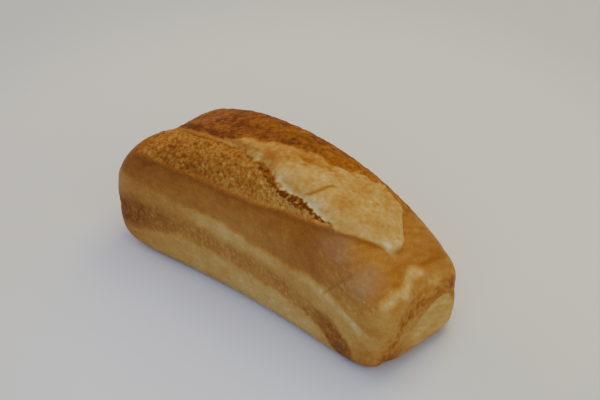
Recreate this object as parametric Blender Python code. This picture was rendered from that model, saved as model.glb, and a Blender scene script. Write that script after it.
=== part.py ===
"""An uncut tin loaf: one solid of crust and crumb that stands on its flat bottom.

The loaf lies along X, with its scored crust up and its bottom on z = 0. Dough baked in a tin is square
below and domed above, so a divided cube is eased onto that form first. Its surface then moves out or in
for what the oven did: the lip of the score, the rough torn strip beside it, the pale burst, the crack
that runs on to the far end, the ridge that the tin's rim leaves, and the folds at the ends.
"""

import bmesh
import bpy
import numpy as np
from mathutils import Vector, noise

# Sizes are in millimetres, and the finished points are scaled to metres.
MM = 0.001

# The tin's form: length along X, width along Y, and the dome above the widest level.
LENGTH = 280.0
WIDTH = 112.5
HEIGHT = 130.3
WIDEST_LEVEL = 50.4
BOTTOM_CUT = 1.5
BOW = 9.8
WAIST = 0.047
SIDE_TAPER = 0.038
END_TAPER = 0.022
DOME_FALL = 0.255
DOME_LEAN = 0.055

# How square each outline is: 2 is round, and a large number is nearly a corner.
PLAN_SQUARE_LEFT = 8.2
PLAN_SQUARE_RIGHT = 6.3
SHOULDER_SQUARE_FRONT = 3.06
SHOULDER_SQUARE_BACK = 2.27
SHOULDER_CHANGE = -0.21
FOOT_SQUARE = 7.7

# Where the dough rose or sank: the left end's front lobe and belly, the dips behind the lobe and on the
# back, and the right end's lean, fallen corners and pulled-in foot.
LOBE_HEIGHT = 3.9
END_DIP = 2.0
BACK_DIP = 1.8
LEFT_BELLY = 2.9
LEFT_TUCK = 1.9
RIGHT_LEAN = 4.1
RIGHT_LEAN_BACK = 1.26
FALLEN_CORNER = 5.6
FALLEN_BACK = 1.5
FOOT_IN = 3.2
FOOT_IN_FRONT = 0.88
FOOT_IN_BACK = 1.4

# The roll of a point is its angle round the loaf's long axis, in degrees: 0 on top, less towards the
# front and more towards the back. The axis lies this high.
AXIS_LEVEL = 50.0

# Lines that the torn crust follows, as (x, roll): the score's lip, the tear where the burst came out or
# the crack ran on, and the burst's back edge. STOP is (roll, x), where the torn crust ends.
LIP = ((-130, -47), (-98, -47.8), (-74, -47.3), (-28, -46), (6, -43.7), (34, -39.8), (48, -38.4),
       (66, -36.2), (79, -32.8), (85, -31.7), (91, -29.6), (97, -27), (102, -22.8), (107, -18.2),
       (112, -16.4))
TEAR = ((-125, -2), (-102, -14.3), (-75, -19.6), (-35, -19.5), (-22, -20.2), (-6, -22.2), (6, -24.2),
        (15, -26), (24, -28.6), (47, -30.4), (66, -32), (79, -32.2), (85, -31.7), (91, -29.6), (97, -27),
        (102, -22.8), (107, -18.2), (112, -16.4))
BACK_EDGE = ((-52, -19.5), (-44, -16), (-28, -10), (-10, -5), (5, -3), (25, -1), (41, 3), (52, 8),
             (62, 14), (72, 23), (80, 29), (92, 31))
STOP = ((-22, 106), (-16, 111.5), (-10, 112), (-2, 112), (7, 110), (14, 104.5), (22, 97), (28, 91),
        (36, 80), (60, 66))

# How deep the crack is along the loaf: (x, share).
CRACK_SHARE = ((-138, 0), (-118, 0.4), (-100, 0.5), (-84, 0.4), (0, 0.3), (26, 0))

# Levels of the ridge that the tin's rim left and of the browned band below it: (x, z) on the long sides
# and (y, z) on the ends, with the crease above the end's ridge, its two folds and its smooth patch.
SIDE_RIDGE = ((-140, 68), (-90, 69), (-49, 70), (-9, 64), (64, 61), (100, 57), (114, 53.5), (140, 52))
SIDE_BAND = ((-140, 41), (-100, 40.5), (-51, 43), (-1, 42), (50, 37), (75, 33), (96, 28.5), (110, 23),
             (140, 20))
END_RIDGE = ((-50, 60), (-44, 64), (-34, 69), (-19, 71), (0, 71), (14, 70), (28, 63), (50, 60))
END_BAND = ((-50, 26), (-39, 32), (-29, 47), (-12, 54.5), (6, 56.5), (21, 54), (50, 48))
END_CREASE = ((0, 75), (14, 73.5), (25, 71.5), (34, 69), (50, 63))
PATCH_RIM = ((-28, 12), (-22, 29), (-13, 36), (-2, 42), (6, 45.5), (15, 47.8), (23, 48), (31, 44), (38, 30))
LEFT_FOLD = ((-48, 64), (-39, 70), (-27, 72), (-18, 70.5), (-12, 67))
RIGHT_FOLD = ((-20, 69), (-9, 73), (1, 74.3), (13, 71))

# Heights of the relief.
LIP_HEIGHT = 0.9
STRIP_DEPTH = 1.0
CRAG_HEIGHT = 1.5
RIM_HEIGHT = 1.8
BURST_HEIGHT = 3.0
BURST_STEP = 1.2
BURST_END_HEIGHT = 1.5
CRACK_DEPTH = 2.8
BACK_RIM_HEIGHT = 0.6
RIDGE_HEIGHT = 1.2
BAND_DEPTH = 0.8
WRINKLE_DEPTH = 0.4
FOLD_HEIGHT = 1.2
CREASE_DEPTH = 0.9
PATCH_DEPTH = 0.7
NOTCH = (135.5, -32.0, 6.0)
NOTCH_SIZE = (7.0, 4.8, 10.0)
NOTCH_DEPTH = 8.0
LUMP_HEIGHT = 0.7
LUMP_SIZE = 48.0
CRAG_SIZE = 7.0

# Cells of the divided cube, and the share of its triangles that the solid keeps.
CELLS = (112, 46, 44)
KEEP = 0.23


def bell(value, centre, width):
    """1 at the centre, falling to nothing a couple of widths away."""
    return np.exp(-(((value - centre) / width) ** 2))


def rise(value, start, end):
    """0 up to start, 1 from end on, eased between them."""
    part = np.clip((value - start) / (end - start), 0, 1)
    return part * part * (3 - 2 * part)


def along(line, value):
    """The height of a line of points at each value."""
    places, heights = zip(*line)
    return np.interp(value, places, heights)


def grain(points, size, offset=0.0):
    """Smooth noise between -1 and 1, with lumps of about the given size."""
    shift = Vector((offset, -offset, 0.5 * offset))
    return np.array([noise.noise(Vector(point) / size + shift) for point in points])


def divided_cube():
    """A cube from -1 to 1 with a grid of cells on each face."""
    shape = bmesh.new()
    bmesh.ops.create_cube(shape, size=2)
    for axis, cells in enumerate(CELLS):
        edges = [edge for edge in shape.edges
                 if abs(edge.verts[0].co[axis] - edge.verts[1].co[axis]) > 0.5]
        bmesh.ops.subdivide_edges(shape, edges=edges, cuts=cells - 1, use_grid_fill=True)
    return shape


def tin_form(cube):
    """The cube's points moved onto the loaf's form, in millimetres, before any relief."""
    u, v, w = cube.T
    to_right = 0.5 * (1 + np.tanh(3 * u))
    to_back = 0.5 * (1 + np.tanh(3 * v))
    plan = PLAN_SQUARE_LEFT + (PLAN_SQUARE_RIGHT - PLAN_SQUARE_LEFT) * to_right
    radius = (abs(u) ** plan + abs(v) ** plan + 1e-12) ** (1 / plan)
    shoulder = SHOULDER_SQUARE_FRONT + (SHOULDER_SQUARE_BACK - SHOULDER_SQUARE_FRONT) * to_back
    square = np.where(w > 0, shoulder + SHOULDER_CHANGE * u, FOOT_SQUARE)
    size = (radius ** square + abs(w) ** square) ** (1 / square)
    # The place in the form, from -1 to 1 along each axis.
    a, b, c = u / size, v / size, w / size
    low = np.clip(-c, 0, 1)
    high = np.clip(c, 0, 1)
    middle = 1 - a ** 2
    left = np.clip(-a, 0, 1)
    right = np.clip(a, 0, 1)
    x = LENGTH / 2 * a * (1 - END_TAPER * low)
    y = WIDTH / 2 * b * (1 - SIDE_TAPER * low) * (1 - WAIST * middle) + BOW * middle
    crown = HEIGHT * (1 - DOME_FALL * a ** 2 - DOME_LEAN * a ** 3)
    z = WIDEST_LEVEL + c * np.where(c > 0, crown - WIDEST_LEVEL, WIDEST_LEVEL + BOTTOM_CUT)
    z += high * LOBE_HEIGHT * bell(a, -0.87, 0.16) * bell(b, -0.5, 0.35)
    z -= high * END_DIP * bell(a, -0.85, 0.12) * bell(b, 0.03, 0.28)
    z -= high * BACK_DIP * bell(a, -0.6, 0.15) * bell(b, 0.5, 0.35)
    x -= (LEFT_BELLY * bell(z, 36, 24) - LEFT_TUCK * bell(z, 84, 20)) * left ** 8
    x += RIGHT_LEAN * right ** 4 * (1 - z / 60) * (1 + RIGHT_LEAN_BACK * b)
    z -= high * FALLEN_CORNER * bell(a, 0.74, 0.2) * bell(b, 0.75, 0.4)
    z -= high * FALLEN_BACK * bell(a, 0.35, 0.25) * bell(b, 0.8, 0.4)
    foot = right ** 6 * np.clip(1 - z / 40, 0, 1) ** 2
    x -= FOOT_IN * foot * (1 - FOOT_IN_FRONT * b)
    y -= FOOT_IN_BACK * foot * np.clip(b, 0, 1)
    return np.stack([x, y, z], axis=1)


def rolls(points):
    """Each point's roll in degrees, and the millimetres that one degree spans there."""
    x, y, z = points.T
    aside = y - BOW * (1 - (2 * x / LENGTH) ** 2)
    above = z - AXIS_LEVEL
    return np.degrees(np.arctan2(aside, above)), np.radians(np.hypot(aside, above))


def top_relief(points):
    """The score's lip, the torn strip with its ragged rim, the crack and the burst."""
    x = points[:, 0]
    roll, degree = rolls(points)
    wander = grain(points, 11, 3.0)
    from_lip = (roll - along(LIP, x)) * degree + 0.8 * grain(points, 22, 1.0)
    middle = rise(x, -60, 0) * rise(-x, -88, -72)
    from_tear = (roll - along(TEAR, x)) * degree + 2.5 * wander * middle
    to_back = (along(BACK_EDGE, x) - roll) * degree + 2.0 * wander
    to_stop = along(STOP, roll) - x
    torn_length = rise(x, -126, -110) * rise(to_stop, -1, 3)

    height = LIP_HEIGHT * bell(from_lip, 0, 3.5) * torn_length
    strip = rise(from_lip, 0, 5) * rise(-from_tear, -1, 3) * torn_length
    crags = abs(grain(points, CRAG_SIZE, 7.0)) + 0.5 * grain(points, CRAG_SIZE / 2, 9.0)
    height += strip * (CRAG_HEIGHT * crags - STRIP_DEPTH)
    height += RIM_HEIGHT * bell(from_tear, -3, 3) * (1 + wander) * rise(x, -20, 0) * rise(-x, -84, -70)
    height -= CRACK_DEPTH * bell(from_tear, 0, 4) * along(CRACK_SHARE, x)

    burst = rise(from_tear, -1, 3) * rise(to_back, -2, 3) * rise(x, -54, -36) * rise(to_stop, -1.5, 2)
    share = np.clip(from_tear / np.clip(from_tear + to_back, 8, None), 0, 1)
    swell = BURST_HEIGHT * (0.3 + 0.7 * np.sin(np.pi * share ** 0.8)) + BURST_END_HEIGHT * rise(x, 60, 95)
    height += burst * (swell - BURST_STEP * bell(from_tear, 2, 4) + 0.5 * grain(points, 14, 12.0))
    height += BACK_RIM_HEIGHT * bell(to_back, -3, 4) * rise(x, -54, -36) * rise(-x, -92, -80)
    return height * rise(points[:, 2], 70, 84)


def wall_relief(points, normals):
    """The rim's ridge and the browned band below it, round all four walls, and the ends' folds."""
    x, y, z = points.T
    facing_end = normals[:, 0] ** 2
    upright = facing_end + normals[:, 1] ** 2
    end_share = facing_end / np.clip(upright, 0.05, None)
    wander = 2.0 * grain(points, 32, 15.0)
    ridge = along(SIDE_RIDGE, x) * (1 - end_share) + along(END_RIDGE, y) * end_share + wander
    band = along(SIDE_BAND, x) * (1 - end_share) + along(END_BAND, y) * end_share + wander
    faded = 0.6 * rise(-x, 110, 135) + 0.9 * rise(x, 100, 125) * rise(y, 15, 35)
    height = RIDGE_HEIGHT * bell(z, ridge, 5.5) * (1 - faded) - BAND_DEPTH * bell(z, band, 7)
    wrinkle = np.sin((z - band) * 0.75 + 2.5 * grain(points, 20, 18.0))
    height += WRINKLE_DEPTH * wrinkle * end_share * bell(z, band + 2, 8)
    folds = bell(z, along(LEFT_FOLD, y), 3.4) * rise(y, -48, -38) * rise(-y, 12, 19)
    folds += bell(z, along(RIGHT_FOLD, y), 3.2) * rise(y, -24, -17) * rise(-y, -16, -7)
    height += FOLD_HEIGHT * folds * end_share * (1 - faded)
    patch = rise(along(PATCH_RIM, y) - z, -1, 3) * rise(z + 1.2 * (y + 21.5) - 30, -3, 4)
    height -= PATCH_DEPTH * patch * rise(end_share, 0.5, 0.8)
    height *= rise(upright, 0.45, 0.75)
    height -= CREASE_DEPTH * bell(z, along(END_CREASE, y), 2.2) * rise(y, 2, 16) * rise(x, 105, 118)
    return height * rise(z, 6, 16)


def relief(points, normals):
    """How far each point moves out along its normal."""
    height = top_relief(points) + wall_relief(points, normals)
    height += LUMP_HEIGHT * grain(points, LUMP_SIZE, 21.0) * rise(points[:, 2], 4, 20)
    from_notch = np.linalg.norm((points - NOTCH) / NOTCH_SIZE, axis=1)
    return height - NOTCH_DEPTH * bell(from_notch, 0, 1)


def crust_material():
    """Golden brown crust with a faint gloss."""
    material = bpy.data.materials.new("crust")
    material.use_nodes = True
    shader = material.node_tree.nodes["Principled BSDF"]
    shader.inputs["Base Color"].default_value = (0.38, 0.17, 0.05, 1)
    shader.inputs["Roughness"].default_value = 0.55
    shader.inputs["Metallic"].default_value = 0.0
    return material


def loaf(collection):
    """The whole loaf, its box centred on X and Y and its bottom on z = 0."""
    shape = divided_cube()
    mesh = bpy.data.meshes.new("loaf")
    shape.to_mesh(mesh)
    shape.free()
    cube = np.empty(len(mesh.vertices) * 3)
    mesh.vertices.foreach_get("co", cube)
    points = tin_form(cube.reshape(-1, 3))
    mesh.vertices.foreach_set("co", points.ravel())
    mesh.update()
    normals = np.empty(len(mesh.vertices) * 3)
    mesh.vertex_normals.foreach_get("vector", normals)
    normals = normals.reshape(-1, 3)
    points = points + normals * relief(points, normals)[:, None]
    points[:, 2] = np.maximum(points[:, 2], 0)
    points[:, :2] -= (points[:, :2].min(axis=0) + points[:, :2].max(axis=0)) / 2
    mesh.vertices.foreach_set("co", (points * MM).ravel())
    mesh.shade_smooth()
    mesh.materials.append(crust_material())
    piece = bpy.data.objects.new("loaf", mesh)
    collection.objects.link(piece)
    fewer = piece.modifiers.new("fewer", "DECIMATE")
    fewer.ratio = KEEP
    return piece


def main():
    for old in list(bpy.data.objects):
        bpy.data.objects.remove(old, do_unlink=True)
    collection = bpy.data.collections.new("tin loaf")
    bpy.context.scene.collection.children.link(collection)
    loaf(collection)


main()
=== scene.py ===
"""The looks of the uncut tin loaf: its baked crust, torn strip and pale burst, on a pale floor.

The loaf is modelled in millimetres in the form's own frame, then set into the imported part's box.
"""
import math

import bmesh
import bpy
import numpy as np
from mathutils import Matrix, Vector, noise


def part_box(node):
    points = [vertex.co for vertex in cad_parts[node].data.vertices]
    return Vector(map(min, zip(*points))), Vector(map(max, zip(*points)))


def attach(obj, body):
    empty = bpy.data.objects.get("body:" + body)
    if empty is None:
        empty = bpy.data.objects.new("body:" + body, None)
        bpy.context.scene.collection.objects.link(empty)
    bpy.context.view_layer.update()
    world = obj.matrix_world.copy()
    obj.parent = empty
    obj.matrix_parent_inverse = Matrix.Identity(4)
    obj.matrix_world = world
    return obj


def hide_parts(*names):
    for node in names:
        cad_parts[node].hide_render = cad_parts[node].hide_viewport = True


MM = 0.001

# The tin's form: length along X, width along Y, and the dome above the widest level.
LENGTH = 280.0
WIDTH = 112.5
HEIGHT = 130.3
WIDEST_LEVEL = 50.4
BOTTOM_CUT = 1.5
BOW = 9.8
WAIST = 0.047
SIDE_TAPER = 0.038
END_TAPER = 0.022
DOME_FALL = 0.255
DOME_LEAN = 0.055

# How square each outline is: 2 is round, and a large number is nearly a corner.
PLAN_SQUARE_LEFT = 8.2
PLAN_SQUARE_RIGHT = 6.3
SHOULDER_SQUARE_FRONT = 3.06
SHOULDER_SQUARE_BACK = 2.27
SHOULDER_CHANGE = -0.21
FOOT_SQUARE = 7.7

# Where the dough rose or sank.
LOBE_HEIGHT = 3.9
END_DIP = 2.0
BACK_DIP = 1.8
LEFT_BELLY = 2.9
LEFT_TUCK = 1.9
RIGHT_LEAN = 4.1
RIGHT_LEAN_BACK = 1.26
FALLEN_CORNER = 5.6
FALLEN_BACK = 1.5
FOOT_IN = 3.2
FOOT_IN_FRONT = 0.88
FOOT_IN_BACK = 1.4

# The roll of a point is its angle round the loaf's long axis, in degrees: 0 on top, less towards the
# front and more towards the back.
AXIS_LEVEL = 50.0

# Lines that the torn crust follows, as (x, roll), and as (roll, x) for where it stops.
LIP = ((-130, -47), (-98, -47.8), (-74, -47.3), (-28, -46), (6, -43.7), (34, -39.8), (48, -38.4),
       (66, -36.2), (79, -32.8), (85, -31.7), (91, -29.6), (97, -27), (102, -22.8), (107, -18.2),
       (112, -16.4))
TEAR = ((-125, -2), (-102, -14.3), (-75, -19.6), (-35, -19.5), (-22, -20.2), (-6, -22.2), (6, -24.2),
        (15, -26), (24, -28.6), (47, -30.4), (66, -32), (79, -32.2), (85, -31.7), (91, -29.6), (97, -27),
        (102, -22.8), (107, -18.2), (112, -16.4))
BACK_EDGE = ((-52, -19.5), (-44, -16), (-28, -10), (-10, -5), (5, -3), (25, -1), (41, 3), (52, 8),
             (62, 14), (72, 23), (80, 29), (92, 31))
STOP = ((-22, 106), (-16, 111.5), (-10, 112), (-2, 112), (7, 110), (14, 104.5), (22, 97), (28, 91),
        (36, 80), (60, 66))

# Levels of the rim's ridge, the browned band and the ends' folds and smooth patch: (x, z) on the long
# sides and (y, z) on the ends.
SIDE_RIDGE = ((-140, 68), (-90, 69), (-49, 70), (-9, 64), (64, 61), (100, 57), (114, 53.5), (140, 52))
SIDE_BAND = ((-140, 41), (-100, 40.5), (-51, 43), (-1, 42), (50, 37), (75, 33), (96, 28.5), (110, 23),
             (140, 20))
END_RIDGE = ((-50, 60), (-44, 64), (-34, 69), (-19, 71), (0, 71), (14, 70), (28, 63), (50, 60))
END_BAND = ((-50, 26), (-39, 32), (-29, 47), (-12, 54.5), (6, 56.5), (21, 54), (50, 48))
END_CREASE = ((0, 75), (14, 73.5), (25, 71.5), (34, 69), (50, 63))
PATCH_RIM = ((-28, 12), (-22, 29), (-13, 36), (-2, 42), (6, 45.5), (15, 47.8), (23, 48), (31, 44), (38, 30))
LEFT_FOLD = ((-48, 64), (-39, 70), (-27, 72), (-18, 70.5), (-12, 67))
RIGHT_FOLD = ((-20, 69), (-9, 73), (1, 74.3), (13, 71))
SMALL_FOLD = ((12, 63.5), (24, 60))
END_FLAKES = ((-40, 18), (-34, 30), (-27, 47), (-12, 56), (4, 55), (12, 53), (33, 49), (40, 48))

# Heights of the relief, in millimetres.
LIP_HEIGHT = 0.9
STRIP_DEPTH = 1.0
CRAG_HEIGHT = 1.5
CRAG_SIZE = 7.0
RIM_HEIGHT = 1.8
BURST_HEIGHT = 3.0
BURST_STEP = 1.2
BURST_END_HEIGHT = 1.5
CRACK_DEPTH = 2.8
BACK_RIM_HEIGHT = 0.6
RIDGE_HEIGHT = 1.2
BAND_DEPTH = 0.8
WRINKLE_DEPTH = 0.4
FOLD_HEIGHT = 1.2
CREASE_DEPTH = 0.9
PATCH_DEPTH = 0.7
NOTCH = (135.5, -32.0, 6.0)
NOTCH_SIZE = (7.0, 4.8, 10.0)
NOTCH_DEPTH = 8.0
LUMP_HEIGHT = 0.7
LUMP_SIZE = 48.0

# Where the crack is deep and where it shows pale dough: (x, share).
CRACK_SHARE = ((-138, 0), (-118, 0.4), (-100, 0.5), (-84, 0.4), (0, 0.3), (26, 0))
CRACK_PALE = ((-120, 0), (-100, 0.5), (-60, 0.6), (-40, 1), (-16, 1), (-4, 0.3), (4, 0))

# The torn strip's dark broken rim along the loaf: (x, millimetres past the tear), (x, half breadth in
# millimetres) and (x, how much of it shows).
RIM_PLACE = ((-10, -1.2), (4, -2.4), (13, -2.4), (17, -4.6), (22, -3.2), (36, -1.4), (50, -0.5),
             (62, -0.4), (72, 0.4))
RIM_BREADTH = ((-12, 2), (-2, 4.2), (12, 4.2), (16, 2), (22, 2.6), (36, 2.8), (46, 2.3), (60, 1.6),
               (72, 1.1))
RIM_SHARE = ((-14, 0), (-4, 1), (13, 1), (17, 0.6), (22, 1), (42, 1.3), (56, 0.95), (67, 0.7), (74, 0))

# How brown each place is baked, from 0, pale dough, to 1, nearly burnt. The long sides' bands run
# between levels given as (x, z) and are as brown as (x, browning) says.
RIDGE_TOP = ((-140, 74), (-60, 71), (-35, 72), (-20, 70.4), (20, 67.6), (40, 66), (60, 69),
             (80, 67), (100, 59.5), (114, 53), (122, 46), (140, 44))
RIDGE_FOOT = ((-140, 55), (-100, 57), (-60, 56), (-20, 54.5), (20, 53.5), (40, 54), (60, 61), (80, 57),
              (90, 52), (110, 42), (122, 34), (140, 32))
BAND_TOP = ((-140, 48), (-100, 53), (-60, 55), (-20, 53), (20, 51), (45, 47), (60, 43), (80, 41), (90, 37),
            (100, 30), (108, 20), (114, 7))
BAND_FOOT = ((-140, 21), (-110, 26), (-80, 34), (-60, 37), (-20, 34.5), (20, 32.5), (50, 31), (65, 27),
             (80, 20), (92, 9), (100, -2))
SHOULDER_BAKE = ((-140, 0.77), (-100, 0.71), (-60, 0.6), (0, 0.55), (40, 0.6), (70, 0.64), (90, 0.55),
                 (110, 0.5), (140, 0.52))
RIDGE_BAKE = ((-140, 0.42), (-126, 0.48), (-110, 0.54), (-68, 0.42), (-50, 0.22), (-20, 0.16), (10, 0.2),
              (35, 0.26), (45, 0.4), (56, 0.34), (70, 0.22), (86, 0.15), (114, 0.1), (124, 0.34),
              (140, 0.4))
GAP_BAKE = ((-140, 0.6), (-60, 0.42), (40, 0.38), (80, 0.3), (110, 0.3), (140, 0.36))
BAND_BAKE = ((-140, 0.84), (-110, 0.84), (-90, 0.7), (-60, 0.57), (-20, 0.53), (20, 0.51), (45, 0.5),
             (60, 0.52), (80, 0.7), (96, 0.84), (108, 0.7), (116, 0.5))
LOW_BAKE = ((-140, 0.72), (-120, 0.48), (-100, 0.36), (-82, 0.35), (-70, 0.3), (-40, 0.27), (0, 0.19),
            (40, 0.2), (60, 0.23), (90, 0.29), (105, 0.5), (140, 0.55))
FAR_BAKE = ((-140, 0.72), (-90, 0.82), (-55, 0.87), (0, 0.84), (40, 0.8), (70, 0.7), (90, 0.62),
            (110, 0.58))
STRIP_BAKE = ((-128, 0.61), (-95, 0.56), (-80, 0.58), (-55, 0.58), (-35, 0.53), (0, 0.49), (30, 0.34),
              (60, 0.35))
BURST_BAKE = ((-50, 0.6), (-28, 0.5), (-8, 0.48), (8, 0.42), (22, 0.3), (40, 0.24), (55, 0.24), (70, 0.3),
              (90, 0.28), (112, 0.22))

# A fold across the burst: (roll, x).
FLAP_FOLD = ((-27, 43), (-23.7, 46.7), (-18, 52), (-11, 56), (-8, 58))

# A straight crease on the front, near the right end: where it starts and how far it runs, as (x, z).
CORNER_CREASE_START = (80, 59)
CORNER_CREASE_RUN = (28, 33)

# Degrees by which the burst's stretch marks and the ends' streaks slant.
STRETCH_TURN = 38
STREAK_TURN = -24

# Pale and browner patches of the burst: (x, roll, half length in mm, half breadth in degrees, browning).
BURST_PATCHES = (
    (-23, -14, 9, 2.2, 0.3),
    (12, -5, 12, 3, 0.26),
    (20, -21, 10, 4.5, 0.1),
    (-9, -19.5, 8, 1.6, 0.05),
    (1, -16.5, 8, 3, 0.66),
    (23, -6, 10, 4, 0.86),
    (42, -2, 9, 2.4, 0.62),
    (92, -22, 10, 4, 0.12),
    (70, -17, 7, 5, 0.5),
    (56, -26, 9, 3.5, 0.0),
    (86, -28, 12, 2.6, 0.33),
    (96, 16, 8, 8, 0.26),
)

# The crust's colours, from pale dough to nearly burnt: (browning, red, green, blue). Then the tint that
# turns the brown of the top golden, and the greyish colour of the flour dusting and of the painted sheen.
CRUST_COLOURS = (
    (0.0, 0.66, 0.53, 0.30),
    (0.08, 0.60, 0.42, 0.16),
    (0.17, 0.53, 0.345, 0.108),
    (0.3, 0.475, 0.28, 0.071),
    (0.45, 0.41, 0.206, 0.046),
    (0.6, 0.34, 0.150, 0.032),
    (0.75, 0.265, 0.105, 0.023),
    (0.88, 0.20, 0.070, 0.015),
    (1.0, 0.12, 0.036, 0.009),
)
TOP_TINT = (1.0, 0.87, 0.7)
DUST_AND_SHEEN_COLOUR = (0.33, 0.22, 0.14)

# How fine the crust's mottling, specks and pits are, in lumps to the metre, and how its surface shines.
MOTTLE_SCALE = 160
SPECKLE_SCALE = 620
PIT_SCALE = 520
SPECKLE_STRENGTH = 0.36
CRUST_ROUGHNESS = 0.56
CRUST_SPECULAR = 0.08
BUMP_STRENGTH = 0.6
BUMP_DISTANCE = 0.0008

# The floor's colour and half its side in metres, then its painted shade, darker further out, and its
# painted bluish shadow before the loaf: the middle of each, the distances in metres between which it fades
# in, and its colour.
FLOOR_COLOUR = (0.74, 0.74, 0.74)
FLOOR_REACH = 6
FLOOR_PAINTED_SHADE = (
    ((-0.041, 0.042, 0), 0.27, 0.43, (0.6, 0.625, 0.64)),
    ((0.044, -0.115, 0), 0.25, 0.1, (0.74, 0.77, 0.89)),
)

# The light from all round, then the lamps: (name, place in metres, side, watts, colour).
WORLD_COLOUR = (1.0, 0.98, 0.94)
WORLD_STRENGTH = 0.383
LAMP_AIM = (0, 0, 0.05)
LAMPS = (
    ("lamp behind", (0.0, 0.68, 1.05), 0.7, 4.4, (1.0, 0.82, 0.1)),
    ("lamp above", (0.0, 0.2, 1.8), 1.2, 8.2, (0.98, 1.0, 0.91)),
    ("window in front", (0.9, -1.9, 1.9), 2.2, 25, (0.45, 0.63, 1.0)),
    ("wall at the right", (2.0, 0.0, 1.2), 1.5, 9.1, (1.0, 0.84, 0.39)),
    ("wall at the left", (-2.0, 0.0, 1.2), 1.5, 11.7, (1.0, 0.77, 0.92)),
)

# Cells of the divided cube along X, Y and Z, and how much closer they lie on the torn front half.
CELLS = (236, 96, 76)
CLOSER_IN_FRONT = 0.15

# The camera, as angles, distance and the point that it was fitted round, in millimetres.
CAMERA_AZIMUTH = 40.99
CAMERA_ELEVATION = 38.38
CAMERA_DISTANCE = 1496.2
CAMERA_TARGET = (0.5, -6.0, 50.0)
FOCAL_PIXELS = 1900.0
PICTURE_WIDTH = 600.0
AIM_RIGHT = 16.7
AIM_UP = 29.9
SENSOR = 36.0


def bell(value, centre, width):
    """One at the centre, falling smoothly to nothing about two widths away."""
    return np.exp(-((value - centre) / width) ** 2)


def rise(value, start, end):
    """A smooth step from 0 at start to 1 at end."""
    share = np.clip((value - start) / (end - start), 0, 1)
    return share * share * (3 - 2 * share)


def along(line, value):
    """The second number of a line of pairs, at a value of the first."""
    known, wanted = zip(*line)
    return np.interp(value, known, wanted)


def toward(value, level, share):
    """A value moved towards a level by a share of the way."""
    return value + (level - value) * np.clip(share, 0, 1)


def grain(points, size, offset=0.0):
    """Smooth noise between -1 and 1, with lumps of about the given size."""
    shift = Vector((offset, -offset, 0.5 * offset))
    return np.array([noise.noise(Vector(point) / size + shift) for point in points])


def pores(points, size, offset=0.0):
    """Distance to the nearest scattered point, from 0 in a pore to about 1 between pores."""
    shift = Vector((offset, -offset, 0.5 * offset))
    return np.array([noise.voronoi(Vector(point) / size + shift)[0][0] for point in points])


def divided_cube():
    """A cube from -1 to 1 with a grid of cells on each face, closer on the front half."""
    shape = bmesh.new()
    bmesh.ops.create_cube(shape, size=2)
    for axis, cells in enumerate(CELLS):
        edges = [edge for edge in shape.edges
                 if abs(edge.verts[0].co[axis] - edge.verts[1].co[axis]) > 0.5]
        bmesh.ops.subdivide_edges(shape, edges=edges, cuts=cells - 1, use_grid_fill=True)
    for vert in shape.verts:
        vert.co.y -= CLOSER_IN_FRONT * (1 - vert.co.y ** 2)
    return shape


def tin_form(cube):
    """The cube's points moved onto the loaf's form, in millimetres, before any relief."""
    u, v, w = cube.T
    to_right = 0.5 * (1 + np.tanh(3 * u))
    to_back = 0.5 * (1 + np.tanh(3 * v))
    plan = PLAN_SQUARE_LEFT + (PLAN_SQUARE_RIGHT - PLAN_SQUARE_LEFT) * to_right
    radius = (abs(u) ** plan + abs(v) ** plan + 1e-12) ** (1 / plan)
    shoulder = SHOULDER_SQUARE_FRONT + (SHOULDER_SQUARE_BACK - SHOULDER_SQUARE_FRONT) * to_back
    square = np.where(w > 0, shoulder + SHOULDER_CHANGE * u, FOOT_SQUARE)
    size = (radius ** square + abs(w) ** square) ** (1 / square)
    a, b, c = u / size, v / size, w / size
    low = np.clip(-c, 0, 1)
    high = np.clip(c, 0, 1)
    middle = 1 - a ** 2
    left = np.clip(-a, 0, 1)
    right = np.clip(a, 0, 1)
    x = LENGTH / 2 * a * (1 - END_TAPER * low)
    y = WIDTH / 2 * b * (1 - SIDE_TAPER * low) * (1 - WAIST * middle) + BOW * middle
    crown = HEIGHT * (1 - DOME_FALL * a ** 2 - DOME_LEAN * a ** 3)
    z = WIDEST_LEVEL + c * np.where(c > 0, crown - WIDEST_LEVEL, WIDEST_LEVEL + BOTTOM_CUT)
    z += high * LOBE_HEIGHT * bell(a, -0.87, 0.16) * bell(b, -0.5, 0.35)
    z -= high * END_DIP * bell(a, -0.85, 0.12) * bell(b, 0.03, 0.28)
    z -= high * BACK_DIP * bell(a, -0.6, 0.15) * bell(b, 0.5, 0.35)
    x -= (LEFT_BELLY * bell(z, 36, 24) - LEFT_TUCK * bell(z, 84, 20)) * left ** 8
    x += RIGHT_LEAN * right ** 4 * (1 - z / 60) * (1 + RIGHT_LEAN_BACK * b)
    z -= high * FALLEN_CORNER * bell(a, 0.74, 0.2) * bell(b, 0.75, 0.4)
    z -= high * FALLEN_BACK * bell(a, 0.35, 0.25) * bell(b, 0.8, 0.4)
    foot = right ** 6 * np.clip(1 - z / 40, 0, 1) ** 2
    x -= FOOT_IN * foot * (1 - FOOT_IN_FRONT * b)
    y -= FOOT_IN_BACK * foot * np.clip(b, 0, 1)
    return np.stack([x, y, z], axis=1)


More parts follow.
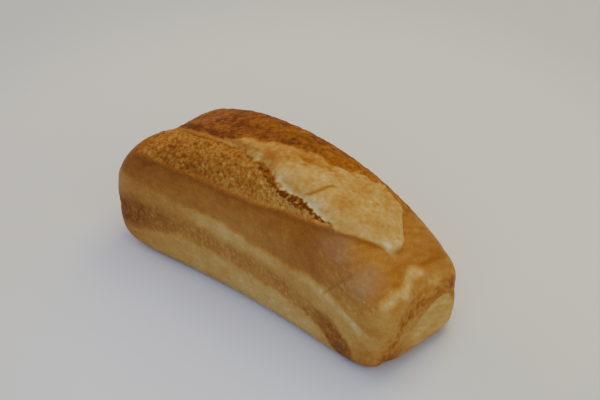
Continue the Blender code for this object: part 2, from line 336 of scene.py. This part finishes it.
class Places:
    """Where each point lies against the torn crust's lines and the walls' levels."""

    def __init__(self, points, normals):
        self.points = points
        self.x, self.y, self.z = points.T
        aside = self.y - BOW * (1 - (2 * self.x / LENGTH) ** 2)
        above = self.z - AXIS_LEVEL
        self.roll = np.degrees(np.arctan2(aside, above))
        degree = np.radians(np.hypot(aside, above))
        x = self.x
        self.wander = grain(points, 11, 3.0)
        self.ragged = grain(points, 4.5, 5.0) + 0.6 * grain(points, 2.2, 6.0)
        middle = rise(x, -60, 0) * rise(-x, -88, -72)
        # Millimetres past the lip and the tear, and before the burst's back edge and its end.
        self.from_lip = (self.roll - along(LIP, x)) * degree + 0.8 * grain(points, 22, 1.0)
        self.from_tear = ((self.roll - along(TEAR, x)) * degree
                          + (2.0 * self.wander + 2.2 * self.ragged) * middle + 0.5 * self.ragged)
        self.to_back = ((along(BACK_EDGE, x) - self.roll) * degree + 5.5 * self.wander
                        + 3.2 * self.ragged)
        self.to_stop = along(STOP, self.roll) - x + 0.4 * self.ragged
        self.top = rise(self.z, 70, 84)
        self.torn_length = rise(x, -128, -112) * rise(self.to_stop, -1, 3)
        self.strip = rise(self.from_lip, 0, 4) * rise(-self.from_tear, -1, 2) * self.torn_length
        self.burst = (rise(self.from_tear, -1, 1.5) * rise(self.to_back, -2, 3) * rise(x, -54, -36)
                      * rise(self.to_stop, -1.2, 1.2))
        self.burst_share = np.clip(self.from_tear / np.clip(self.from_tear + self.to_back, 8, None), 0, 1)
        # How upright the surface is, how much it faces an end, and the levels on it.
        facing_end = normals[:, 0] ** 2
        self.upright = facing_end + normals[:, 1] ** 2
        self.end = facing_end / np.clip(self.upright, 0.05, None)
        sway = 2.0 * grain(points, 32, 15.0)
        self.ridge = along(SIDE_RIDGE, x) * (1 - self.end) + along(END_RIDGE, self.y) * self.end + sway
        self.band = along(SIDE_BAND, x) * (1 - self.end) + along(END_BAND, self.y) * self.end + sway
        self.wall = rise(self.upright, 0.45, 0.75)
        patch_edge = along(PATCH_RIM, self.y) + 0.6 * self.wander
        self.patch = (rise(patch_edge - self.z, -0.8, 1.6) * rise(self.end, 0.5, 0.8)
                      * rise(self.z + 1.2 * (self.y + 21.5) - 30 + 2 * self.wander, -3, 4)
                      * rise(self.z, 6, 14))
        # The ends' three low folds and their flaky band, as shares.
        y, z = self.y, self.z
        stray = 1.8 * self.wander + 1.2 * self.ragged
        left_fold = bell(z + stray, along(LEFT_FOLD, y), 3.4) * rise(y, -48, -38) * rise(-y, 12, 19)
        right_fold = bell(z + stray, along(RIGHT_FOLD, y), 3.2) * rise(y, -24, -17) * rise(-y, -16, -7)
        small_fold = bell(z + stray, along(SMALL_FOLD, y), 1.8) * rise(y, 9, 14) * rise(-y, -28, -20)
        self.flakes = bell(z + stray, along(END_FLAKES, y), 7.5) * rise(self.end, 0.4, 0.7)
        self.folds = np.clip(left_fold + right_fold + 0.6 * small_fold, 0, 1) * rise(self.end, 0.3, 0.6)


def crags(places):
    """The torn strip's grains, between about -1 and 1."""
    points = places.points
    coarse = abs(grain(points, CRAG_SIZE, 7.0)) + 0.5 * grain(points, CRAG_SIZE / 2, 9.0)
    pitted = rise(-places.x, 45, 60) * rise(places.x, -98, -85)
    pits = np.clip(1 - 2.6 * pores(points, 5.5, 43.0), 0, 1)
    return 0.7 * coarse + (0.45 * grain(points, 2.2, 41.0) - 0.8 * pitted * pits)


def relief(places, grains):
    """How far each point moves out along its normal, in millimetres."""
    points, x, y, z = places.points, places.x, places.y, places.z
    from_tear, from_lip = places.from_tear, places.from_lip
    top = LIP_HEIGHT * bell(from_lip, 0, 3.5) * places.torn_length
    top += places.strip * (CRAG_HEIGHT * grains - STRIP_DEPTH)
    top += (RIM_HEIGHT * bell(from_tear, -2.6, 2.6) * (1 + places.wander + 0.5 * places.ragged)
            * rise(x, -14, 4) * rise(-x, -66, -48))
    top -= CRACK_DEPTH * bell(from_tear, 0, 4) * along(CRACK_SHARE, x)
    swell = BURST_HEIGHT * (0.3 + 0.7 * np.sin(np.pi * places.burst_share ** 0.8))
    swell += BURST_END_HEIGHT * rise(x, 60, 95)
    top += places.burst * (swell - BURST_STEP * bell(from_tear, 2, 4) + 0.5 * grain(points, 14, 12.0))
    top += BACK_RIM_HEIGHT * bell(places.to_back, -3, 4) * rise(x, -54, -36) * rise(-x, -92, -80)
    top += places.burst * stretch_marks(points)
    to_fold = along(FLAP_FOLD, places.roll) - x
    flap = rise(to_fold, 0, 1.5) * rise(-to_fold, -14, -2)
    top += 0.9 * flap * rise(places.roll, -26, -21) * rise(-places.roll, 9, 13)
    behind = rise(-places.to_back, -2, 4) * rise(from_tear, 0, 4)
    top += 0.5 * behind * (grain(points, 5, 71.0) + 0.6 * places.ragged)

    at_left_end = rise(-x, 110, 135)
    faded = 0.6 * at_left_end + 0.9 * rise(x, 100, 125) * rise(y, 15, 35)
    wall = RIDGE_HEIGHT * bell(z, places.ridge, 5.5) * (1 - faded) * (1 - 0.5 * places.end)
    wall += FOLD_HEIGHT * places.folds * (1 - faded)
    wall -= BAND_DEPTH * bell(z, places.band, 7)
    wall += WRINKLE_DEPTH * wrinkles(places) * places.end * bell(z, places.band + 2, 8)
    wall -= PATCH_DEPTH * places.patch
    wall *= places.wall
    wall -= CREASE_DEPTH * bell(z, along(END_CREASE, y), 2.2) * rise(y, 2, 16) * rise(x, 105, 118)
    wall -= 0.5 * corner_crease(places, 1.2)
    wall += 0.35 * blisters(points) * bell(z, places.band + 2, 9) * places.wall

    height = top * places.top + wall * rise(z, 6, 16)
    height += LUMP_HEIGHT * grain(points, LUMP_SIZE, 21.0) * rise(z, 4, 20)
    from_notch = np.linalg.norm((points - NOTCH) / NOTCH_SIZE, axis=1)
    return height - NOTCH_DEPTH * bell(from_notch, 0, 1)


def stretch_marks(points):
    """Low wrinkles across the burst, where the dough was drawn out."""
    turn = math.radians(STRETCH_TURN)
    x, y, z = points.T
    lengthwise = x * math.cos(turn) + y * math.sin(turn)
    across = -x * math.sin(turn) + y * math.cos(turn)
    drawn = np.stack([lengthwise / 3, across, z / 3], axis=1)
    return 0.3 * grain(drawn, 4.0, 51.0) + 0.3 * grain(drawn, 1.8, 53.0)


def wrinkles(places):
    """The ends' fine folds, which follow the browned band."""
    return np.sin((places.z - places.band) * 0.75 + 2.5 * grain(places.points, 20, 18.0))


def corner_crease(places, width):
    """A straight crease from the front ridge up to the burst's tip, near the right end."""
    x, z = places.x, places.z
    start_x, start_z = CORNER_CREASE_START
    run_x, run_z = CORNER_CREASE_RUN
    off_line = ((x - start_x) * run_z - (z - start_z) * run_x) / math.hypot(run_z, run_x)
    off_line += 0.6 * places.wander
    front = rise(-places.y, 15, 25)
    return bell(off_line, 0, width) * rise(x, 78, 84) * rise(-x, -110, -102) * front


def blisters(points):
    """Small round swellings that the hot tin raised."""
    return np.clip(1 - 2.2 * pores(points, 3.6, 61.0), 0, 1)


def side_browning(places, patches, small):
    """Down the long sides: brown shoulder, pale ridge, browned band and pale foot."""
    x, z = places.x, places.z
    drawn = grain(places.points * np.array([0.5, 1, 1]), 3.0, 37.0)
    level = along(SHOULDER_BAKE, x) + 0.07 * rise(z, 76, 98) + 0.08 * patches + 0.08 * drawn
    speckled = rise(x, 60, 90) * rise(z, 50, 66)
    level -= 0.2 * speckled * np.clip(2 * small - 0.2, 0, 1)
    sway = 2.2 * places.wander + 1.0 * places.ragged
    level = toward(level, along(RIDGE_BAKE, x) + 0.12 * patches + 0.1 * small,
                   0.92 * rise(along(RIDGE_TOP, x) - z + 0.6 * sway, -2.5, 4))
    level = toward(level, along(GAP_BAKE, x) + 0.1 * patches + 0.08 * small,
                   rise(along(RIDGE_FOOT, x) - z + sway, -6, 5))
    band = along(BAND_BAKE, x) + 0.1 * patches + 0.14 * small - 0.3 * blisters(places.points)
    level = toward(level, band, rise(along(BAND_TOP, x) - z + sway, -6, 6))
    foot = along(LOW_BAKE, x) + 0.1 * patches + 0.08 * small + 0.05 * drawn
    level = toward(level, foot, rise(along(BAND_FOOT, x) - z + sway, -4, 4))
    level = toward(level, 0.48 + 0.14 * small, rise(x, 106, 118) * rise(36 - z + sway, 0, 16))
    return toward(level, 0.62 + 0.14 * small, rise(x, 106, 120) * rise(15 - z + sway, 0, 8))


def end_browning(places, patches, small):
    """Down the ends: the folded ridge, the wrinkled band and the smooth pale patch."""
    y, z = places.y, places.z
    turn = math.radians(STREAK_TURN)
    drawn = np.stack([places.x, (y * math.cos(turn) + z * math.sin(turn)) / 3.5,
                      z * math.cos(turn) - y * math.sin(turn)], axis=1)
    streaks = grain(drawn, 3.2, 39.0)
    level = 0.58 + 0.05 * patches + 0.14 * streaks + 0.14 * rise(-places.x, 60, 120)
    level = toward(level, 0.4 + 0.1 * patches + 0.14 * small, rise(68 - z, -3, 6))
    flakes = 0.16 * streaks + 0.4 * small + 0.2 * places.ragged
    level = toward(level, 0.62 + flakes, 0.9 * places.flakes)
    # Painted shade: darker in the troughs where the wrinkles sink in.
    level = toward(level, 0.72, 0.25 * np.clip(-wrinkles(places), 0, 1) * bell(z, places.band + 2, 9))
    low_corner = bell(y, -32, 11) * bell(z, 17, 9)
    level = toward(level, 0.74 + 0.2 * small, 0.9 * low_corner)
    level = toward(level, 0.62, rise(13 - z, 0, 5))
    patch = 0.2 + 0.08 * patches + 0.16 * streaks + 0.1 * rise(-y, 0, 20)
    return toward(level, patch, places.patch)


def wall_browning(places, patches, small):
    """Round all the walls, with the ends' pale folds, painted shade in the creases, and browner and paler
    spots.
    """
    x, y, z = places.x, places.y, places.z
    roll, ragged = places.roll, places.ragged
    bake = side_browning(places, patches, small)
    bake = toward(bake, end_browning(places, patches, small), rise(places.end, 0.2, 0.8))
    bake = toward(bake, 0.34, 0.7 * rise(places.folds, 0.0, 0.5))
    bake = toward(bake, 0.04, places.folds * (0.62 + 0.5 * small + 0.3 * ragged))
    # Painted shade along the corner crease's groove.
    bake = toward(bake, 0.78, 0.6 * corner_crease(places, 1.0))
    bake = toward(bake, 0.42, 0.6 * bell(x, 112, 8) * bell(y, -22, 9) * rise(z, 74, 80))
    bake = toward(bake, 0.66, 0.5 * bell(x, 76, 16) * bell(roll, -38, 5) * rise(-places.from_tear, 0, 3))
    bake = toward(bake, 0.7, 0.7 * bell(y, 36, 12) * bell(z, 70, 11) * rise(x, 112, 122))
    bake = toward(bake, 0.3, 0.6 * bell(y, -42, 9) * bell(z, 57, 11) * rise(x, 118, 128))
    # Painted shade in the end's crease.
    crease = bell(z, along(END_CREASE, y), 1.1) * rise(y, 6, 20) * rise(x, 105, 118)
    return toward(bake, 0.8, 0.6 * crease)


def behind_tear(places):
    """Where the crust behind the tear and the burst lies, as a share."""
    behind = rise(places.from_tear, 0.5, 3) * rise(-places.to_back, -2, 3)
    return behind * rise(-places.x, -100, -85) * places.top


def torn_browning(bake, places, grains, patches, small, fine):
    """The torn strip, the lip before it and the crust behind."""
    x, tear, wander = places.x, places.from_tear, places.wander
    speckles = grain(places.points, 4.6, 38.0)
    strip = along(STRIP_BAKE, x) + 0.1 * patches + 0.24 * fine + 0.2 * small
    # Darker where the grains sink: partly toasted crumb, partly painted shade in the hollows.
    strip += 0.22 * np.clip(0.35 - grains, -0.7, 1)
    bake = toward(bake, strip, 1.1 * places.strip * places.top)
    lip_shade = bell(places.from_lip + wander, -1.0, 2.2) * places.torn_length
    bake = toward(bake, 0.84, 0.6 * lip_shade * places.top)
    under_lip = bell(places.from_lip + wander, -1.8, 2.2) * rise(x, 58, 72) * rise(-x, -109, -102)
    bake = toward(bake, 0.76, 0.55 * under_lip)
    far = along(FAR_BAKE, x) + 0.14 * patches + 0.16 * speckles + 0.14 * small + 0.1 * fine
    far += 0.15 * bell(tear, 6, 6) * rise(-x, 30, 50)
    return toward(bake, far, behind_tear(places))


def burst_browning(places, patches, small, fine):
    """The burst's own crust, blotched and with one fold across it."""
    x, roll, wander, ragged = places.x, places.roll, places.wander, places.ragged
    marks = stretch_marks(places.points) / 0.5
    burst = along(BURST_BAKE, x) + 0.1 * marks + 0.16 * patches + 0.16 * small + 0.1 * fine
    for middle, rolled, long, broad, level in BURST_PATCHES:
        blotch = bell(x + 4 * wander, middle, long) * bell(roll + 4 * ragged, rolled, broad)
        burst = toward(burst, level + 0.1 * small, 0.85 * blotch)
    fold = bell(x + ragged, along(FLAP_FOLD, roll), 1.4) * rise(roll, -27, -24) * rise(-roll, 10, 13)
    return toward(burst, 0.68, 0.8 * fold)


def tear_browning(bake, places, small, fine):
    """Along the tear: the burst's pale edge and tip, the crack, and the strip's dark broken rim."""
    x, roll, tear, ragged = places.x, places.roll, places.from_tear, places.ragged
    pale_edge = bell(tear, 2.4, 3.0 + 1.5 * ragged) * rise(x, 8, 18) * rise(-x, -86, -62) * places.burst
    bake = toward(bake, 0.0, (0.85 + 0.5 * ragged) * pale_edge * places.top)
    tip = bell(x, 107, 6.5) * bell(roll, -15.5, 6) * rise(tear, -1.8, -0.3)
    bake = toward(bake, 0.0, 0.95 * tip)
    edge_line = bell(places.to_stop, 1.0, 1.6) * rise(roll, -16, -12) * rise(-roll, -24, -14)
    bake = toward(bake, 0.12, 0.6 * edge_line)
    crack = bell(tear + 0.4 * ragged, 0.8, 1.2) * along(CRACK_PALE, x) * np.clip(0.8 + ragged, 0, 1)
    bake = toward(bake, 0.48 - 0.3 * rise(x, -64, -44), crack * places.top)
    bake = toward(bake, 0.94, 0.5 * bell(tear, -1.4, 1.0) * rise(x, -110, -90) * rise(-x, 20, 40))
    rim = along(RIM_SHARE, x) * bell(tear + 0.8 * ragged, along(RIM_PLACE, x), along(RIM_BREADTH, x))
    rim_bake = 0.84 + 0.14 * rise(x, 14, 24) + 0.2 * small
    return toward(bake, rim_bake, rise(rim * (1 + 0.9 * ragged + 0.8 * fine), 0.3, 0.7) * places.top)


def dust_and_sheen_share(places, patches, small):
    """Where a greyish tone dulls the crust, from 0 to 1: partly flour dusting, partly painted sheen."""
    x, y, z = places.x, places.y, places.z
    # The two patches on the front shoulders are painted sheen: the light's broad reflection, greyed into
    # the colour.
    dust_and_sheen = bell(x, 84, 13) * bell(z, 98, 9) + bell(x, 114, 11) * bell(z, 83, 9)
    dust_and_sheen = dust_and_sheen * (1 - 0.4 * bell(x, 84, 8)) * rise(-y, 20, 34)
    dust_and_sheen = np.maximum(dust_and_sheen, 0.5 * rise(-x, 118, 130) * bell(z, 62, 14) * rise(-y, 30, 45))
    dust_and_sheen = np.maximum(dust_and_sheen, 0.3 * bell(x, 93, 13) * bell(places.roll, -23, 5) * places.burst)
    return np.clip(dust_and_sheen * (0.8 + 0.5 * patches + 0.3 * small), 0, 1)


def browning(places, grains):
    """The crust's layers, from 0 to 1: how brown, torn, burst and golden it is, and its dusting and painted
    sheen.
    """
    points, x, z = places.points, places.x, places.z
    patches = grain(points, 15, 33.0)
    small = grain(points, 3.2, 35.0)
    fine = grain(points, 2.3, 36.0)
    bake = wall_browning(places, patches, small)
    bake = torn_browning(bake, places, grains, patches, small, fine)
    bake = toward(bake, burst_browning(places, patches, small, fine), places.burst * places.top)
    bake = tear_browning(bake, places, small, fine)
    dust_and_sheen = dust_and_sheen_share(places, patches, small)
    torn = np.clip(places.strip * places.top * (1 - places.burst), 0, 1)
    torn = np.maximum(torn, 0.6 * behind_tear(places))
    golden = np.clip(rise(z, 72, 100) + rise(x, 112, 128) * rise(z, 60, 76), 0, 1)
    golden = np.maximum(golden, 0.8 * places.flakes)
    golden = np.maximum(golden, 0.7 * rise(x, 106, 120) * rise(36 - z, 0, 14))
    golden *= (1 - dust_and_sheen) * (1 - places.folds)
    return {"bake": np.clip(bake, 0, 1), "torn": torn, "burst": places.burst * places.top, "dust_and_sheen": dust_and_sheen,
            "golden": golden}


def crust_material():
    """Baked crust: its colour follows how brown it is, with finer mottling, pores and grain."""
    material = bpy.data.materials.new("baked crust")
    material.use_nodes = True
    nodes = material.node_tree.nodes
    links = material.node_tree.links
    shader = nodes["Principled BSDF"]

    def attribute(name):
        node = nodes.new("ShaderNodeAttribute")
        node.attribute_name = name
        return node.outputs["Fac"]

    def maths(operation, first, second, clamp=False):
        node = nodes.new("ShaderNodeMath")
        node.operation = operation
        node.use_clamp = clamp
        for socket, value in zip(node.inputs, (first, second)):
            if isinstance(value, (int, float)):
                socket.default_value = value
            else:
                links.new(value, socket)
        return node.outputs["Value"]

    place = nodes.new("ShaderNodeTexCoord")

    def lumps(scale, detail, roughness=0.6):
        node = nodes.new("ShaderNodeTexNoise")
        node.inputs["Scale"].default_value = scale
        node.inputs["Detail"].default_value = detail
        node.inputs["Roughness"].default_value = roughness
        links.new(place.outputs["Object"], node.inputs["Vector"])
        return maths("SUBTRACT", node.outputs["Fac"], 0.5)

    bake, torn, burst = attribute("bake"), attribute("torn"), attribute("burst")
    dust_and_sheen, golden = attribute("dust_and_sheen"), attribute("golden")
    mottle = lumps(MOTTLE_SCALE, 3)
    speckle = lumps(SPECKLE_SCALE, 4, 0.65)
    cells = nodes.new("ShaderNodeTexVoronoi")
    cells.inputs["Scale"].default_value = PIT_SCALE
    links.new(place.outputs["Object"], cells.inputs["Vector"])
    pits = maths("SUBTRACT", cells.outputs["Distance"], 0.45)

    strength = maths("MULTIPLY_ADD", torn, 0.35)
    strength.node.inputs[2].default_value = SPECKLE_STRENGTH
    strength = maths("SUBTRACT", strength, maths("MULTIPLY", burst, 0.16))
    level = maths("ADD", bake, maths("MULTIPLY", speckle, strength))
    level = maths("ADD", level, maths("MULTIPLY", mottle, 0.2))
    # Darker in the pits: partly toasted crumb, partly painted shade.
    level = maths("SUBTRACT", level, maths("MULTIPLY", maths("MULTIPLY", pits, torn), 0.2), True)

    ramp = nodes.new("ShaderNodeValToRGB")
    stops = ramp.color_ramp.elements
    while len(stops) < len(CRUST_COLOURS):
        stops.new(0.5)
    for stop, (where, red, green, blue) in zip(stops, CRUST_COLOURS):
        stop.position = where
        stop.color = (red, green, blue, 1)
    links.new(level, ramp.inputs["Fac"])

    warmed = nodes.new("ShaderNodeMix")
    warmed.data_type = "RGBA"
    warmed.blend_type = "MULTIPLY"
    links.new(maths("MULTIPLY", golden, maths("MULTIPLY", level, 1.5, True)), warmed.inputs["Factor"])
    links.new(ramp.outputs["Color"], warmed.inputs["A"])
    warmed.inputs["B"].default_value = (*TOP_TINT, 1)

    # A greyish tone mixed in: partly flour dusting, partly painted sheen on the shoulders.
    dusted_and_sheened = nodes.new("ShaderNodeMix")
    dusted_and_sheened.data_type = "RGBA"
    amount = maths("MULTIPLY", dust_and_sheen, maths("ADD", maths("MULTIPLY", mottle, 1.2), 0.55), True)
    links.new(amount, dusted_and_sheened.inputs["Factor"])
    links.new(warmed.outputs["Result"], dusted_and_sheened.inputs["A"])
    dusted_and_sheened.inputs["B"].default_value = (*DUST_AND_SHEEN_COLOUR, 1)
    links.new(dusted_and_sheened.outputs["Result"], shader.inputs["Base Color"])

    rough = maths("MULTIPLY_ADD", maths("MAXIMUM", torn, burst), 0.22)
    rough.node.inputs[2].default_value = CRUST_ROUGHNESS
    links.new(maths("ADD", rough, maths("MULTIPLY", mottle, 0.15), True), shader.inputs["Roughness"])

    height = maths("ADD", maths("MULTIPLY", speckle, 1.0), maths("MULTIPLY", mottle, 0.8))
    height = maths("ADD", height, maths("MULTIPLY", maths("MULTIPLY", pits, torn), 1.2))
    bump = nodes.new("ShaderNodeBump")
    bump.inputs["Strength"].default_value = BUMP_STRENGTH
    bump.inputs["Distance"].default_value = BUMP_DISTANCE
    links.new(height, bump.inputs["Height"])
    links.new(bump.outputs["Normal"], shader.inputs["Normal"])
    shader.inputs["Specular IOR Level"].default_value = CRUST_SPECULAR
    return material


def loaf():
    """The whole loaf as one closed piece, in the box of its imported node."""
    mesh = bpy.data.meshes.new("loaf crust")
    shape = divided_cube()
    shape.to_mesh(mesh)
    shape.free()
    cube = np.empty(len(mesh.vertices) * 3)
    mesh.vertices.foreach_get("co", cube)
    points = tin_form(cube.reshape(-1, 3))
    mesh.vertices.foreach_set("co", points.ravel())
    mesh.update()
    normals = np.empty(len(mesh.vertices) * 3)
    mesh.vertex_normals.foreach_get("vector", normals)
    normals = normals.reshape(-1, 3)

    places = Places(points, normals)
    grains = crags(places)
    for name, values in browning(places, grains).items():
        layer = mesh.attributes.new(name, "FLOAT", "POINT")
        layer.data.foreach_set("value", values)
    points = points + normals * relief(places, grains)[:, None]
    points[:, 2] = np.maximum(points[:, 2], 0)

    low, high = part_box("loaf")
    lowest, highest = points.min(axis=0), points.max(axis=0)
    points = (points - lowest) / (highest - lowest) * (np.array(high) - np.array(low)) + np.array(low)
    mesh.vertices.foreach_set("co", points.ravel())
    mesh.shade_smooth()
    mesh.update()
    mesh.materials.append(crust_material())
    piece = bpy.data.objects.new("loaf_crust", mesh)
    bpy.context.scene.collection.objects.link(piece)
    return piece


def floor():
    """A pale floor, wide enough for every view, with painted shade further out and a painted bluish shadow
    before the loaf.
    """
    shape = bmesh.new()
    bmesh.ops.create_grid(shape, x_segments=1, y_segments=1, size=FLOOR_REACH)
    mesh = bpy.data.meshes.new("floor")
    shape.to_mesh(mesh)
    shape.free()
    material = bpy.data.materials.new("pale paper")
    material.use_nodes = True
    shader = material.node_tree.nodes["Principled BSDF"]
    nodes = material.node_tree.nodes
    links = material.node_tree.links
    place = nodes.new("ShaderNodeTexCoord")
    # Painted shade: darker further out, and bluish where the loaf's shadow falls in front.
    for middle, start, full, colour in FLOOR_PAINTED_SHADE:
        distance = nodes.new("ShaderNodeVectorMath")
        distance.operation = "DISTANCE"
        distance.inputs[1].default_value = middle
        share = nodes.new("ShaderNodeMapRange")
        share.interpolation_type = "SMOOTHSTEP"
        share.inputs["From Min"].default_value = start
        share.inputs["From Max"].default_value = full
        shade = nodes.new("ShaderNodeMix")
        shade.data_type = "RGBA"
        shade.inputs["A"].default_value = (*FLOOR_COLOUR, 1)
        shade.inputs["B"].default_value = (*colour, 1)
        links.new(place.outputs["Object"], distance.inputs[0])
        links.new(distance.outputs["Value"], share.inputs["Value"])
        links.new(share.outputs["Result"], shade.inputs["Factor"])
        if shader.inputs["Base Color"].is_linked:
            links.new(shader.inputs["Base Color"].links[0].from_socket, shade.inputs["A"])
        links.new(shade.outputs["Result"], shader.inputs["Base Color"])
    shader.inputs["Roughness"].default_value = 0.9
    shader.inputs["Specular IOR Level"].default_value = 0.1
    mesh.materials.append(material)
    piece = bpy.data.objects.new("floor", mesh)
    bpy.context.scene.collection.objects.link(piece)
    return piece


def camera():
    """The camera at the photograph's angle, with its middle aimed as the photograph's is."""
    azimuth = math.radians(CAMERA_AZIMUTH)
    elevation = math.radians(CAMERA_ELEVATION)
    back = Vector((math.sin(azimuth) * math.cos(elevation), -math.cos(azimuth) * math.cos(elevation),
                   math.sin(elevation)))
    right = Vector((math.cos(azimuth), math.sin(azimuth), 0))
    up = back.cross(right)
    place = (Vector(CAMERA_TARGET) + back * CAMERA_DISTANCE) * MM
    view = -back * FOCAL_PIXELS + right * AIM_RIGHT + up * AIM_UP
    view.normalize()
    side = view.cross(up).normalized()
    above = side.cross(view)
    lens = bpy.data.cameras.new("camera")
    lens.sensor_fit = "HORIZONTAL"
    lens.sensor_width = SENSOR
    lens.lens = FOCAL_PIXELS / PICTURE_WIDTH * SENSOR
    lens.clip_start = 0.05
    lens.clip_end = 50
    piece = bpy.data.objects.new("camera", lens)
    turn = Matrix((side, above, -view)).transposed().to_4x4()
    piece.matrix_world = Matrix.Translation(place) @ turn
    bpy.context.scene.collection.objects.link(piece)
    bpy.context.scene.camera = piece


def area_light(name, place, size, power, colour):
    """A soft square light that shines on the loaf."""
    light = bpy.data.lights.new(name, "AREA")
    light.shape = "SQUARE"
    light.size = size
    light.energy = power
    light.color = colour
    piece = bpy.data.objects.new(name, light)
    place = Vector(place)
    piece.location = place
    piece.rotation_euler = (Vector(LAMP_AIM) - place).to_track_quat("-Z", "Y").to_euler()
    bpy.context.scene.collection.objects.link(piece)


def lights():
    """Five soft lamps, behind, above, in front and at both ends, and pale light from all round."""
    world = bpy.data.worlds.new("studio")
    world.use_nodes = True
    backdrop = world.node_tree.nodes["Background"]
    backdrop.inputs["Color"].default_value = (*WORLD_COLOUR, 1)
    backdrop.inputs["Strength"].default_value = WORLD_STRENGTH
    bpy.context.scene.world = world
    for lamp in LAMPS:
        area_light(*lamp)


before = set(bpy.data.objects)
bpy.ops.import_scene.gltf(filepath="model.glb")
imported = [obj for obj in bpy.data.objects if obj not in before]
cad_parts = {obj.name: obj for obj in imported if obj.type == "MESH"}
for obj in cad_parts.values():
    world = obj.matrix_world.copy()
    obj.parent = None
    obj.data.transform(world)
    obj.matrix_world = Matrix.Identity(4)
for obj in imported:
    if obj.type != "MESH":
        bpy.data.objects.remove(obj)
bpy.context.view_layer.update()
camera()
lights()
floor()
crust = loaf()
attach(crust, "root")
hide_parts("loaf")
